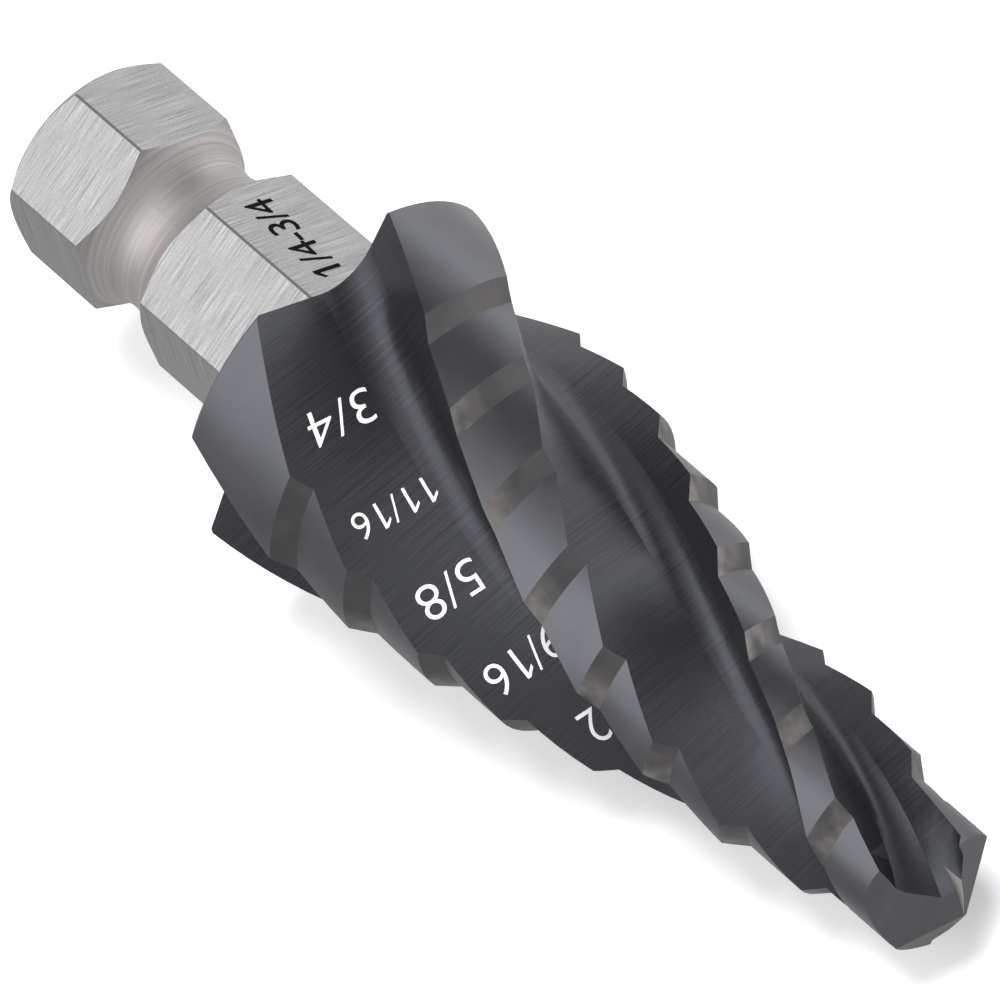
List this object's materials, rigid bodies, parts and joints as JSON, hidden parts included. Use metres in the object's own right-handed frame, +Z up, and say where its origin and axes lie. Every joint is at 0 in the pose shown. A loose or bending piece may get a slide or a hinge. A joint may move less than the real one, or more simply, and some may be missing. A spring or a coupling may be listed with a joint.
{
  "type": "step drill",
  "caption": "Stepped drill bit for sheet metal with twisted flutes, a split point and a necked hex quick-change shank.",
  "frame": {"origin": "on the floor, under the middle of the drill as it lies at rest", "axes": "+X along the drill towards its point, +Z up, with the drill's axis 6.8 degrees below +X towards the point"},
  "size_m": [0.0588, 0.019, 0.019],
  "materials": {
    "step_drill": "dark satin coating on the cutting body, bare ground steel on the shank"
  },
  "bodies": {
    "root": {"step_drill": "step_drill"}
  },
  "joints": []
}
